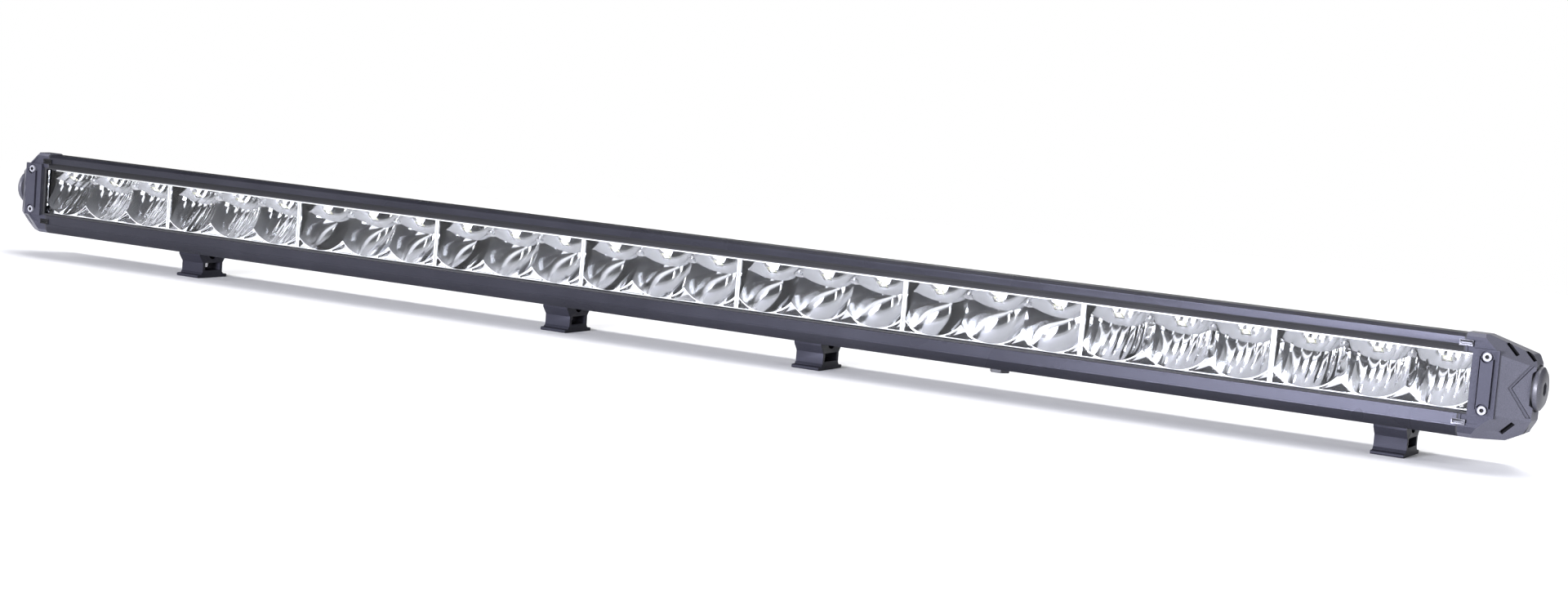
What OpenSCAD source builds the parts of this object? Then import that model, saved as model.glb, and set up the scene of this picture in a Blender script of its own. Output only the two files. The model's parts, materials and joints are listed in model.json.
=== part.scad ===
/* [Optics] */
// Reflector modules side by side behind the lens
module_count = 9; // [5:1:10]
// Bowls moulded into each reflector module
bowls_per_module = 3; // [2:1:4]
// Distance between the centres of neighbouring bowls
bowl_pitch = 45; // [38:1:55]
// Height of the reflectors
reflector_h = 37; // [31:1:40]
// Depth of a bowl behind the reflector's front plane
bowl_depth = 24; // [19:1:29]
// Height of the bowl axis above the middle of the lens
bowl_axis_up = 14.9; // [12:0.1:18]
// Slope of the LED deck that roofs the bowls, in degrees
deck_angle = 38; // [32:1:44]
// Wall of a reflector module
reflector_wall = 1.6; // [1.3:0.1:2]
// Thickness of an LED circuit board
board_t = 1.6; // [1.3:0.1:2]
// Width of an LED circuit board along the deck's slope
board_w = 19; // [15:1:23]
// Thickness of the thermal pad behind a board
pad_t = 0.6; // [0.4:0.1:1]
// Side of a square LED package
led_w = 5; // [4:0.5:6]
// Distance of the LEDs from the deck's front edge, along the slope
led_set = 9; // [7:0.5:11]

/* [Housing] */
// Depth of the extrusion from the bezel face to the back
housing_d = 62; // [58:1:75]
// Height of the extrusion's top above the middle of the lens
top_h = 31; // [29:0.5:38]
// Height of the extrusion's underside below the middle of the lens
bottom_h = 35; // [34:0.5:42]
// Clear height of the window between the bezel lips
window_h = 40; // [38:0.5:44]
// Thickness of the bezel lip in front of the lens
bezel_t = 3; // [2.4:0.1:4]
// Width of the bevel along the bezel's top edge
top_bevel = 2.2; // [1.5:0.1:3]
// Height of the flat part of the bezel below the window
bezel_h = 8; // [6:0.5:9]
// Width of one cooling slot
fin_gap = 3.2; // [2.6:0.1:4]
// Distance from one cooling fin to the next
fin_pitch = 5.4; // [4.8:0.1:7]
// Thickness of the walls round the inner spaces
web_t = 3.6; // [3:0.1:4.4]
// Slope of the fin tips towards the back, in degrees
crest_slope = 28; // [22:1:32]

/* [Lens] */
// Thickness of the lens
lens_t = 4; // [3.2:0.1:5]
// How far the lens reaches into its groove
lens_lip = 3; // [2.4:0.1:3.4]
// Thickness of the seal in front of the lens
lens_seal_t = 1.2; // [1:0.1:1.5]

/* [Ends] */
// Length of an end cap
cap_l = 42; // [36:1:50]
// Thickness of the gasket between cap and extrusion
end_gasket_t = 1; // [0.8:0.1:1.5]
// Length of the reflector row that each cap covers
cap_overlap = 7.5; // [6:0.5:9]
// Width of the clamp plate on the cap's front
plate_w = 17; // [14:0.5:19]
// Thickness of the clamp plate
plate_t = 1.8; // [1.5:0.1:2.4]
// Height of the raised bar on the clamp plate
bar_relief = 1.2; // [0.8:0.1:1.6]
// Distance between the two screws of a clamp plate
plate_screw_pitch = 34; // [29:0.5:37]
// Diameter of the end mounting bolt's flanged head
bolt_head_d = 28; // [24:1:30]
// Thickness of the end mounting bolt's head
bolt_head_t = 5; // [4.2:0.1:6]
// Diameter of the end mounting bolt's shank
bolt_d = 10; // [8:1:12]

/* [Feet] */
// Height of the extrusion's underside above the ground
foot_h = 20.5; // [19:0.5:26]
// Length of a foot along the bar
foot_l = 22; // [18:1:28]
// Depth of a foot's base flange
flange_d = 36; // [32:1:44]
// Depth of a foot's hollow box
box_d = 24; // [21:1:28]
// Places of the four feet along the bar, from its middle
foot_x = [-452, -92, 126, 554];
// Distance from the bezel face to the middle of the T-slot
slot_y = 29; // [28:0.5:31]
// Width of the T-slot's neck
slot_neck_w = 7; // [6.6:0.1:8]
// Width of the T-slot's head
slot_head_w = 12.4; // [11:0.1:13]

/* [Cable outlet] */
// Place of the cable gland along the bar, from its middle
gland_x = 262; // [240:1:280]
// Width of the cable gland over its hexagon's corners
gland_w = 17; // [14:0.5:18]

/* [Hidden] */
$fn = 48;
ends = ["left", "right"];
modules = [for (i = [1 : module_count]) i];
feet = [1, 2, 3, 4];

// Clearances
run_gap = 0.05;
fit_gap = 0.1;
slide_gap = 0.25;
seat_gap = 0.2;
eps = 0.01;

// Lengths along the bar
module_l = bowls_per_module * bowl_pitch;
row_l = module_count * module_l;
module_gap = 0.3;
cap_start = row_l / 2 - cap_overlap;
housing_l = 2 * (cap_start - end_gasket_t);
bar_end = cap_start + cap_l;

// Depths behind the bezel face
lens_y = bezel_t + lens_seal_t;
ref_y = lens_y + lens_t + seat_gap;
deck_y = ref_y + 1.5;
cavity_y = ref_y + bowl_depth + reflector_wall + 4;
ref_d = bowl_depth + reflector_wall;

// Heights from the middle of the lens
cavity_z = reflector_h / 2;
lens_z = window_h / 2 + lens_lip - seat_gap;
groove_z = window_h / 2 + lens_lip;
deck_z = cavity_z - 1;

// The sloping deck: a frame whose Y runs down the slope and whose Z points out of it
board_z = reflector_wall;
pad_z = board_z + board_t;
wall_z = pad_z + pad_t;
board_set = (wall_z * cos(deck_angle) + deck_z - cavity_z + fit_gap) / sin(deck_angle);
module DeckFrame() translate([0, deck_y, deck_z]) rotate([-deck_angle, 0, 0]) children();
function deck_at(y, up) = deck_z + up / cos(deck_angle) - (y - deck_y) * tan(deck_angle);
function deck_meets(z, up) = deck_y + (deck_z + up / cos(deck_angle) - z) / tan(deck_angle);

// Outline of the extrusion
strip_z = window_h / 2 + bezel_h;
strip_in = 1.2;
edge_h = 2.8;
edge_in = 4.2;
crest_y = 15;
rear_bevel = 4;
rear_z = top_h - (housing_d - crest_y) * tan(crest_slope);

// The driver bay behind the cavity, and the screw ports round it
bay_y = cavity_y + web_t;
bay_d = housing_d - web_t - bay_y;
bay_top = rear_z - web_t - 8.6;
bay_low = -bottom_h + 12.5;
port_d = 4.2;
port_front = slot_y + slot_head_w / 2 + web_t + 1.1;
port_back = housing_d - port_d / 2 - 3.6;
port_low = -bottom_h + 8.2;
port_top = bay_top + 4.2;
ports = [[port_front, port_low], [port_back, port_low], [bay_y + 2.2, port_top], [port_back, port_top]];
fin_floor = port_top + port_d / 2 + 1.6;

// The T-slot
slot_lip = 3.5;
slot_head_h = 5.2;

// Bolts and screws
screw_d = 5;
cap_head_d = 8;
cap_head_t = 4.6;
plate_screw_d = 4;
plate_head_d = 5.6;
plate_bore_d = 8.2;
m3_d = 3;
m3_head_d = 5.4;
m3_head_t = 1.6;
m3_sink = 0.3;
m6_d = 6;

// End cap: the bevelled plan starts beside the clamp plate
plate_x = cap_start + 5.5;
plate_end = plate_x + plate_w;
plate_up = 1;
bevel_d = 16;
bevel_x = bar_end - plate_end;
bevel_angle = atan2(bevel_d, bevel_x);
bevel_l = norm([bevel_d, bevel_x]);
bolt_y = 26;
bolt_z = -0.5;
bolt_well = 2;

// Clips
clip_l = 9;
clip_h = 4;
clip_t = 0.9;
clip_peg_d = 2;
clip_peg_l = 3;

// Feet
flange_t = 2.6;
floor_t = 6;
hollow_h = 6.2;
deck_t = 2.8;
arm_d = 33;
saddle_r = 5.5;
head_t = 4;

// Outlet
gland_y = port_front + (port_back - port_front) / 2;
gland_d = 10;
cord_d = 7;
gland_h = 3.6;
gland_nut_h = 3.6;
breather_x = -200;
breather_d = 14;
breather_t = 2.4;
breather_stem = 8;

// The whole bar stands on its feet, with its middle over the origin
front_y = -(plate_t + bar_relief);
back_y = housing_d + breather_t;
module Bar() translate([0, -(front_y + back_y) / 2, foot_h + bottom_h]) children();

// Extrudes an outline drawn in depth and height along the bar
module Along(from, to) translate([from, 0, 0]) rotate([90, 0, 90]) linear_extrude(to - from) children();
// Mirrors what is drawn for the right end
module End(e) {
    if (e == "left")
        mirror([1, 0, 0]) children();
    else
        children();
}
// A cylinder along the bar, from one place to another
module RodX(d, from, to) translate([from, 0, 0]) rotate([0, 90, 0]) cylinder(d = d, h = to - from);

// ---------- outlines in depth and height ----------

// The extrusion's outer outline, grown at the top and back for the caps
module OuterOutline(grow = 0) polygon([
    [0, -strip_z],
    [strip_in, -bottom_h + edge_h],
    [edge_in, -bottom_h],
    [housing_d - rear_bevel, -bottom_h],
    [housing_d + grow, -bottom_h + rear_bevel],
    [housing_d + grow, rear_z + grow],
    [crest_y, top_h + grow],
    [top_bevel, top_h + grow],
    [0, top_h - top_bevel + grow]
]);

// The lens groove and the space behind it, roofed by the sloping deck wall
module CavityOutline() {
    translate([bezel_t, -groove_z]) square([ref_y - bezel_t, 2 * groove_z]);
    polygon([
        [ref_y - eps, -cavity_z],
        [cavity_y, -cavity_z],
        [cavity_y, deck_at(cavity_y, wall_z)],
        [deck_meets(cavity_z, wall_z), cavity_z],
        [ref_y - eps, cavity_z]
    ]);
}

// The window between the bezel lips
module WindowOutline() translate([-1, -window_h / 2]) square([bezel_t + 1 + eps, window_h]);

module BayOutline() translate([bay_y, bay_low]) square([bay_d, bay_top - bay_low]);

module PortOutline(d) for (p = ports) translate(p) circle(d = d);

// The T-slot in the underside
module SlotOutline() {
    translate([slot_y - slot_neck_w / 2, -bottom_h - 1]) square([slot_neck_w, slot_lip + 1 + eps]);
    translate([slot_y - slot_head_w / 2, -bottom_h + slot_lip]) square([slot_head_w, slot_head_h]);
}

// Cooling slots, cut from above down to the webs
module FinSlots() for (y = [crest_y + 2.4 : fin_pitch : housing_d - fin_gap - 1.8]) {
    floor_z = max(deck_at(y, wall_z) + web_t / cos(deck_angle), fin_floor);
    translate([y, floor_z]) square([fin_gap, top_h + 2 - floor_z]);
}

// Fine lines along the bezel's face
module FaceLines() {
    translate([-1, -strip_z + 0.4]) square([1.5, 0.7]);
    translate([-1, window_h / 2 + 2.2]) square([1.9, 1.8]);
}

// ---------- the extrusion and what closes its front ----------

module housing() color("#2b2b30") Bar() difference() {
    Along(-housing_l / 2, housing_l / 2) difference() {
        OuterOutline();
        CavityOutline();
        WindowOutline();
        BayOutline();
        PortOutline(port_d);
        SlotOutline();
        FinSlots();
        FaceLines();
    }
    WireHoles() cylinder(d = 6, h = web_t + 2);
    ModuleScrewPlaces() translate([0, 0, wall_z - 1]) cylinder(d = m3_d + fit_gap, h = 5 + 1);
    translate([gland_x, gland_y, -bottom_h - 1]) cylinder(d = gland_d + fit_gap, h = bay_low + bottom_h + 2);
    translate([breather_x, housing_d - web_t - 1, (bay_low + bay_top) / 2])
        rotate([-90, 0, 0]) cylinder(d = breather_stem + fit_gap, h = web_t + 2);
}

module lens() color("#dfe6ea", 0.4) Bar()
    translate([-row_l / 2 - 0.4, lens_y, -lens_z]) cube([row_l + 0.8, lens_t, 2 * lens_z]);

module lens_seal() color("#101012") Bar() difference() {
    translate([-row_l / 2 - 0.4, bezel_t, -lens_z]) cube([row_l + 0.8, lens_seal_t, 2 * lens_z]);
    translate([-row_l / 2 + 3, bezel_t - 1, -window_h / 2 + 1.2]) cube([row_l - 6, lens_seal_t + 2, window_h - 2.4]);
}

// ---------- optics ----------

function module_x(i) = (i - (module_count + 1) / 2) * module_l;
bowls = [for (k = [1 : bowls_per_module]) (k - (bowls_per_module + 1) / 2) * bowl_pitch];
ridges = [for (k = [1 : bowls_per_module - 1]) (k - bowls_per_module / 2) * bowl_pitch];
bowl_r = cavity_z + bowl_axis_up - 0.4;

// A bowl is turned about its axis: deep in the middle, with a steep rim
bowl_steps = 12;
function bowl_at(r) = bowl_depth * pow(1 - pow(r / bowl_r, 3), 1 / 3);
module Bowl() translate([0, ref_y, bowl_axis_up]) rotate([-90, 0, 0]) rotate_extrude($fn = 72) polygon(concat(
    [[0, -1], [bowl_r, -1]],
    [for (k = [bowl_steps : -1 : 1]) let (r = bowl_r * sin(90 * k / bowl_steps)) [r, bowl_at(r)]],
    [[0, bowl_depth]]
));

// The space under the deck, between two planes across the bar
module UnderDeck(half) Along(-half, half) polygon([
    [ref_y - 2, -cavity_z - 1],
    [cavity_y, -cavity_z - 1],
    [cavity_y, deck_at(cavity_y, 0)],
    [deck_y, deck_z],
    [ref_y - 2, deck_z]
]);

module reflector(i) color("#e8e9ec") Bar() translate([module_x(i), 0, 0]) difference() {
    Along(-module_l / 2 + module_gap / 2, module_l / 2 - module_gap / 2) polygon([
        [ref_y, -cavity_z],
        [ref_y + ref_d, -cavity_z],
        [ref_y + ref_d, deck_at(ref_y + ref_d, board_z)],
        [deck_meets(cavity_z, board_z), cavity_z],
        [ref_y, cavity_z]
    ]);
    intersection() {
        for (x = bowls) translate([x, 0, 0]) Bowl();
        UnderDeck(module_l / 2 - module_gap / 2 - reflector_wall);
    }
    DeckFrame() for (x = bowls)
        translate([x - led_w / 2 - 1, led_set - led_w / 2 - 1, -1]) cube([led_w + 2, led_w + 2, board_z + 2]);
    DeckFrame() for (x = ridges) translate([x, led_set, 0]) {
        cylinder(d = m3_d + 2 * fit_gap, h = board_z + 2);
        translate([0, 0, -8]) cylinder(d = m3_head_d + 2 * fit_gap, h = 8 + m3_sink);
    }
}

module led_board(i) color("#f2f2ee") Bar() translate([module_x(i), 0, 0]) DeckFrame() difference() {
    translate([-module_l / 2 + 1.5, board_set, board_z]) cube([module_l - 3, board_w, board_t]);
    for (x = ridges) translate([x, led_set, board_z - 1]) cylinder(d = m3_d + 2 * fit_gap, h = board_t + 2);
}

// One LED package under each board place
module leds() color("#f5e27a") Bar() for (i = modules) for (x = bowls)
    translate([module_x(i) + x, 0, 0]) DeckFrame()
        translate([-led_w / 2, led_set - led_w / 2, 0.3]) cube([led_w, led_w, board_z - 0.3]);

module thermal_pads() color("#8fa3b5") Bar() for (i = modules) translate([module_x(i), 0, 0]) DeckFrame() difference() {
    translate([-module_l / 2 + 1.5, board_set, pad_z]) cube([module_l - 3, board_w, pad_t]);
    for (x = ridges) translate([x, led_set, pad_z - 1]) cylinder(d = m3_d + 2 * fit_gap, h = pad_t + 2);
}

module ModuleScrewPlaces() for (i = modules) for (x = ridges)
    translate([module_x(i) + x, 0, 0]) DeckFrame() translate([0, led_set, 0]) children();

// Screws that hold each reflector and its board to the deck wall
module module_screws() color("#c9c9cc") Bar() ModuleScrewPlaces() {
    cylinder(d = m3_d, h = wall_z + 4.5);
    translate([0, 0, m3_sink - m3_head_t]) cylinder(d = m3_head_d, h = m3_head_t);
}

// ---------- electronics ----------

// Holes through the cavity's back wall, one behind each module
module WireHoles() for (i = modules) translate([module_x(i), cavity_y - 1, (bay_low + bay_top) / 2])
    rotate([-90, 0, 0]) children();

driver_l = 430;
driver_w = bay_d - 1.2;
driver_z = bay_low + 3;
module driver_board() color("#1f5c34") Bar() {
    translate([-driver_l / 2, bay_y + 0.6, driver_z]) cube([driver_l, driver_w, board_t]);
    for (x = [-0.45, -0.15, 0.15, 0.45]) translate([x * driver_l, bay_y + bay_d / 2, bay_low])
        cylinder(d = 4, h = driver_z - bay_low + eps);
}

module driver_parts() color("#3a3a40") Bar() for (k = [-3 : 3]) {
    top_z = driver_z + board_t;
    room = bay_top - top_z;
    translate([k * 58 - 8, bay_y + bay_d / 2 - 5, top_z]) cube([16, 10, room * 0.55]);
    translate([k * 58 + 18, bay_y + bay_d / 2, top_z]) cylinder(d = min(8, driver_w - 2), h = room * 0.75);
}

// Supply pair lying along the bay's floor
wire_d = 1.6;
module supply_wires() color("#8c1c1c") Bar() for (k = [0, 1])
    translate([0, bay_y + 1.2 + k * 2.4, bay_low + wire_d / 2 + 0.05]) RodX(wire_d, -housing_l / 2 + 20, gland_x - 9);

// A short pair of leads from each board's lower edge through the cavity's back wall
lead_y = cavity_y - 1.9;
lead_z = (bay_low + bay_top) / 2;
module module_leads() color("#c03028") Bar() for (i = modules) for (k = [-1, 1])
    translate([module_x(i) + k * 1.2, 0, 0]) {
        translate([0, lead_y, lead_z - wire_d / 2]) cylinder(d = wire_d, h = deck_at(lead_y, board_z) - lead_z - 1);
        translate([0, lead_y, lead_z]) rotate([-90, 0, 0]) cylinder(d = wire_d, h = bay_y + 2 - lead_y);
    }

// ---------- ends, drawn for the right end ----------

module end_gasket(e) color("#0c0c0e") Bar() End(e) Along(cap_start - end_gasket_t, cap_start) difference() {
    OuterOutline();
    CavityOutline();
    WindowOutline();
    BayOutline();
    PortOutline(screw_d + 2 * fit_gap);
}

// Seen from above: bevelled back from the clamp plate, with a bevelled rear corner
module CapPlan() polygon([
    [cap_start, -1],
    [plate_end, 0],
    [bar_end, bevel_d],
    [bar_end, housing_d - 28],
    [bar_end - 24, housing_d + 2],
    [cap_start, housing_d + 2]
]);

// Seen from the front: the top and bottom fall away towards the end
cap_drop = 10;
module CapFront() polygon([
    [cap_start, top_h + 2],
    [cap_start + 13, top_h + 1],
    [bar_end - 4, top_h - cap_drop],
    [bar_end, top_h - cap_drop - 6],
    [bar_end, -bottom_h + cap_drop + 4],
    [bar_end - 5, -bottom_h + cap_drop - 5],
    [bar_end - 15, -bottom_h],
    [cap_start, -bottom_h - 1]
]);

// Two facets cut the front's outer corners, each through three points: the first two on the front face
top_facet = [
    [cap_start + 13, 0, top_h - 2],
    [plate_end, 0, top_h - 11],
    [bar_end - 2, bevel_d * 0.9, top_h - 17]
];
low_facet = [
    [cap_start + 13, 0, -bottom_h + 8],
    [plate_end, 0, -bottom_h + 16.5],
    [bar_end - 2, bevel_d * 0.9, -bottom_h + 14]
];
function facing(f) = cross(f[1] - f[0], f[2] - f[0]);
// A frame on a facet: Z points out of it, X runs down its slope, Y level along it
module FacetFrame(f, n) translate(f[0]) rotate([0, acos(n.z / norm(n)), atan2(n.y, n.x)]) children();
module OnTopFacet() FacetFrame(top_facet, facing(top_facet)) children();
module OnLowFacet() FacetFrame(low_facet, -facing(low_facet)) children();

module CapBody() difference() {
    intersection() {
        Along(cap_start, bar_end) OuterOutline(0.8);
        translate([0, 0, -bottom_h - 2]) linear_extrude(top_h + bottom_h + 5) CapPlan();
        translate([0, housing_d + 3, 0]) rotate([90, 0, 0]) linear_extrude(housing_d + 5) CapFront();
    }
    OnTopFacet() translate([-80, -80, 0]) cube([160, 160, 60]);
    OnLowFacet() translate([-80, -80, 0]) cube([160, 160, 60]);
}

// Where the two clips sit, and their pegs
module ClipPlaces() for (k = [-1, 1]) translate([cap_start, 0, k * (window_h / 2 + 5.2)]) children();
module ClipPeg(d) translate([2.6, -eps, 0]) rotate([-90, 0, 0]) cylinder(d = d, h = clip_peg_l);

// Shallow panels above and below the clamp plate
panel_in = 0.9;
module FrontPanels() translate([0, panel_in, 0]) rotate([90, 0, 0]) linear_extrude(panel_in + 1) {
    polygon([
        [cap_start + 1.5, window_h / 2],
        [cap_start + 1.5, top_h - 3.4],
        [cap_start + 12.2, top_h - 3.4],
        [plate_end - 1.8, top_h - 10.6],
        [plate_end - 1.8, window_h / 2 - 4]
    ]);
    polygon([
        [cap_start + 1.5, -window_h / 2],
        [cap_start + 1.5, -bottom_h + 9.4],
        [cap_start + 12.2, -bottom_h + 9.4],
        [plate_end - 1.8, -bottom_h + 16],
        [plate_end - 1.8, -window_h / 2 + 4]
    ]);
}

// The arrow-shaped groove on the bevelled side, drawn along the bevel and upwards
module ArrowGroove() translate([plate_end, 0, 0]) rotate([0, 0, bevel_angle])
    translate([0, 1, 0]) rotate([90, 0, 0]) linear_extrude(3) polygon([
        [bevel_l * 0.28, bolt_z],
        [bevel_l * 0.82, bolt_z + 15],
        [bevel_l * 0.95, bolt_z + 15],
        [bevel_l * 0.40, bolt_z],
        [bevel_l * 0.98, bolt_z - 18.5],
        [bevel_l * 0.84, bolt_z - 18.5]
    ]);

// Diagonal vents across the two facets
vent_w = 3.6;
module Vents() for (k = [0, 1]) {
    OnTopFacet() translate([6.8 + 5.6 * k, 17.5 + 13 * k, -2.6]) rotate([0, 0, 22])
        translate([-5.2, -vent_w / 2, 0]) cube([10.4 - 2 * k, vent_w, 8]);
    OnLowFacet() translate([-0.6 + 3.4 * k, 19 + 14 * k, -2.6]) rotate([0, 0, -34])
        translate([-5.2 + k, -vent_w / 2, 0]) cube([10.4 - 2 * k, vent_w, 8]);
}

module end_cap(e) color("#34343c") Bar() End(e) difference() {
    CapBody();
    Along(cap_start - 1, plate_x + 1) {
        CavityOutline();
        WindowOutline();
    }
    Along(cap_start - 1, row_l / 2 + 1) CavityOutline();
    Along(cap_start - 1, cap_start + 12) BayOutline();
    ClipPlaces() ClipPeg(clip_peg_d + fit_gap);
    for (p = ports) translate([0, p[0], p[1]]) {
        RodX(screw_d + fit_gap, cap_start - 1, bar_end);
        RodX(cap_head_d + 0.6, cap_start + 9, bar_end + 1);
    }
    PlateScrewPlaces() translate([0, 0, -1]) cylinder(d = plate_screw_d + fit_gap, h = 9);
    translate([0, bolt_y, bolt_z]) {
        RodX(bolt_d + 2 * run_gap, bar_end - 24, bar_end + 1);
        RodX(bolt_head_d + 3, bar_end - bolt_well, bar_end + 1);
    }
    FrontPanels();
    ArrowGroove();
    Vents();
}

// Small grooved clips that bridge the joint between bezel and cap, pegged into the cap
module clip_pair(e) color("#8d8e94") Bar() End(e) ClipPlaces() {
    difference() {
        translate([-4, -clip_t, -clip_h / 2]) cube([clip_l, clip_t, clip_h]);
        translate([-3, -clip_t - 0.5, -clip_h * 0.15]) cube([clip_l - 2, 1, clip_h * 0.3]);
    }
    ClipPeg(clip_peg_d);
}

module cap_screws(e) color("#b9bac0") Bar() End(e) for (p = ports) translate([0, p[0], p[1]]) {
    RodX(screw_d, cap_start + eps, cap_start + 9);
    RodX(port_d - fit_gap, cap_start - 14, cap_start + 2 * eps);
    difference() {
        RodX(cap_head_d, cap_start + 9, cap_start + 9 + cap_head_t);
        translate([cap_start + 9 + cap_head_t - 2.5, 0, 0]) rotate([0, 90, 0]) cylinder(d = 4.6, h = 3, $fn = 6);
    }
}

// Both screws of a clamp plate, in a frame whose Z runs into the cap
plate_mid_x = plate_x + plate_w / 2 + 1;
module PlateScrewPlaces() for (k = [-1, 1])
    translate([plate_mid_x, 0, plate_up + k * plate_screw_pitch / 2]) rotate([-90, 0, 0]) children();

bar_w = 8;
module clamp_plate(e) color("#3a3a42") Bar() End(e) {
    half = plate_screw_pitch / 2;
    difference() {
        union() {
            translate([plate_x, -plate_t, plate_up - half - 4.6]) cube([plate_w, plate_t, 2 * half + 9.2]);
            translate([plate_mid_x - bar_w / 2, -plate_t - bar_relief, plate_up - half]) cube([bar_w, bar_relief + 1, 2 * half]);
        }
        for (k = [-1, 1]) translate([plate_mid_x + k * (bar_w / 2 + 0.4) - 0.5, -plate_t - 1, plate_up - half])
            cube([1, 2.2, 2 * half]);
        PlateScrewPlaces() {
            translate([0, 0, -plate_t - bar_relief - 1]) cylinder(d = plate_bore_d, h = bar_relief + 2);
            translate([0, 0, -plate_t - 1]) cylinder(d = plate_screw_d + 2 * fit_gap, h = plate_t + 2);
        }
    }
}

// Round-headed screws with a hexagon socket
module plate_screws(e) color("#d9dade") Bar() End(e) PlateScrewPlaces() {
    seat = -plate_t + 1;
    translate([0, 0, seat - eps]) cylinder(d = plate_screw_d, h = 7);
    difference() {
        translate([0, 0, seat - 2.2]) cylinder(d = plate_head_d, h = 2.2);
        translate([0, 0, seat - 2.2 - 1]) cylinder(d = 2.9, h = 2.4, $fn = 6);
    }
}

module bolt_washer(e) color("#161618") Bar() End(e) translate([0, bolt_y, bolt_z]) difference() {
    RodX(bolt_head_d - 4, bar_end - bolt_well, bar_end - bolt_well + 1.2);
    RodX(bolt_d + 1, bar_end - bolt_well - 1, bar_end);
}

// Flanged mounting bolt, free to turn in the cap
bolt_seat = bar_end - bolt_well + 1.2 + run_gap;
module end_bolt(e) color("#44444c") Bar() End(e) translate([0, bolt_y, bolt_z]) difference() {
    translate([bolt_seat, 0, 0]) rotate([0, 90, 0]) rotate_extrude() polygon([
        [0, -20],
        [bolt_d / 2, -20],
        [bolt_d / 2, 0],
        [bolt_head_d / 2 - 0.8, 0],
        [bolt_head_d / 2, 0.8],
        [bolt_head_d / 2, bolt_head_t - 1.8],
        [bolt_head_d / 2 - 3, bolt_head_t],
        [0, bolt_head_t]
    ]);
    translate([bolt_seat + bolt_head_t - 3.4, 0, 0]) rotate([0, 90, 0]) cylinder(d = 9.2, h = 4, $fn = 6);
}

// ---------- feet ----------

// Seen along the bar, from the middle of the foot's underside
module FootOutline() {
    top = foot_h - slide_gap;
    shelf = floor_t + hollow_h;
    difference() {
        union() {
            translate([-flange_d / 2 + flange_t / 2, 0]) square([flange_d - flange_t, flange_t]);
            for (k = [-1, 1]) translate([k * (flange_d / 2 - flange_t / 2), flange_t / 2]) circle(d = flange_t);
            polygon([
                [-box_d / 2 - 1.6, flange_t - eps],
                [box_d / 2 + 1.6, flange_t - eps],
                [box_d / 2, flange_t + 2],
                [box_d / 2, shelf],
                [arm_d / 2, top - 2.2],
                [arm_d / 2, top],
                [-arm_d / 2, top],
                [-arm_d / 2, top - 2.2],
                [-box_d / 2, shelf],
                [-box_d / 2, flange_t + 2]
            ]);
        }
        translate([-box_d / 2 + 3, floor_t]) square([box_d - 6, hollow_h]);
        translate([0, top + 0.2]) circle(r = min(saddle_r, top - shelf - deck_t + 0.2));
    }
}

module AtFoot(i) Bar() translate([foot_x[i - 1], slot_y, -bottom_h - foot_h]) children();

module foot(i) color("#232329") AtFoot(i) difference() {
    Along(-foot_l / 2, foot_l / 2) FootOutline();
    translate([0, 0, -1]) cylinder(d = 6.8, h = floor_t + 2);
    translate([0, 0, floor_t + hollow_h - 1]) cylinder(d = m6_d + 0.6, h = foot_h);
}

// The nut lies on the slot's lips, the screw hangs from the foot's shelf into it
nut_z = foot_h + slot_lip + slide_gap;
nut_h = slot_head_h - 2 * slide_gap - 0.2;
module foot_screw(i) color("#b4b5ba") AtFoot(i) {
    shelf = floor_t + hollow_h;
    translate([0, 0, shelf - eps]) cylinder(d = m6_d, h = nut_z + nut_h - shelf);
    difference() {
        translate([0, 0, shelf - head_t]) cylinder(d = 10, h = head_t);
        translate([0, 0, shelf - head_t - 1]) cylinder(d = 5.7, h = 3.4, $fn = 6);
    }
}

module slot_nut(i) color("#9a9ba1") AtFoot(i) difference() {
    translate([-7, -slot_head_w / 2 + slide_gap, nut_z]) cube([14, slot_head_w - 2 * slide_gap, nut_h]);
    translate([0, 0, nut_z - 1]) cylinder(d = m6_d + fit_gap, h = nut_h + 2);
}

// ---------- outlet and vent ----------

module cable_gland() color("#1c1c1f") Bar() translate([gland_x, gland_y, -bottom_h]) difference() {
    union() {
        translate([0, 0, -gland_h]) cylinder(d = gland_w, h = gland_h, $fn = 6);
        cylinder(d = gland_d, h = bay_low + bottom_h + 1);
    }
    translate([0, 0, -gland_h - 1]) cylinder(d = cord_d, h = bay_low + bottom_h + gland_h + 3);
}

module gland_nut() color("#242428") Bar() translate([gland_x, gland_y, -bottom_h - gland_h]) difference() {
    translate([0, 0, -gland_nut_h]) cylinder(d = gland_w - 2, h = gland_nut_h, $fn = 6);
    translate([0, 0, -gland_nut_h - 1]) cylinder(d = cord_d + 1, h = gland_nut_h + 2);
}

module gland_seal() color("#0b0b0c") Bar() translate([gland_x, gland_y, -bottom_h - gland_h]) difference() {
    translate([0, 0, -gland_nut_h]) cylinder(d = cord_d + 1, h = gland_nut_h);
    translate([0, 0, -gland_nut_h - 1]) cylinder(d = cord_d - 0.6, h = gland_nut_h + 2);
}

module breather() color("#26262a") Bar() translate([breather_x, housing_d, (bay_low + bay_top) / 2]) rotate([-90, 0, 0])
    difference() {
        union() {
            cylinder(d = breather_d, h = breather_t);
            translate([0, 0, -web_t]) cylinder(d = breather_stem, h = web_t + eps);
        }
        for (a = [0 : 60 : 300]) rotate([0, 0, a]) translate([breather_d / 2 - 1, -0.8, 0.8]) cube([2, 1.6, 3]);
    }

housing();
lens();
lens_seal();
for (i = modules) reflector(i);
for (i = modules) led_board(i);
leds();
thermal_pads();
module_screws();
driver_board();
driver_parts();
supply_wires();
module_leads();
for (e = ends) end_gasket(e);
for (e = ends) end_cap(e);
for (e = ends) clip_pair(e);
for (e = ends) cap_screws(e);
for (e = ends) clamp_plate(e);
for (e = ends) plate_screws(e);
for (e = ends) bolt_washer(e);
for (e = ends) end_bolt(e);
for (i = feet) foot(i);
for (i = feet) foot_screw(i);
for (i = feet) slot_nut(i);
cable_gland();
gland_nut();
gland_seal();
breather();
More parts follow.
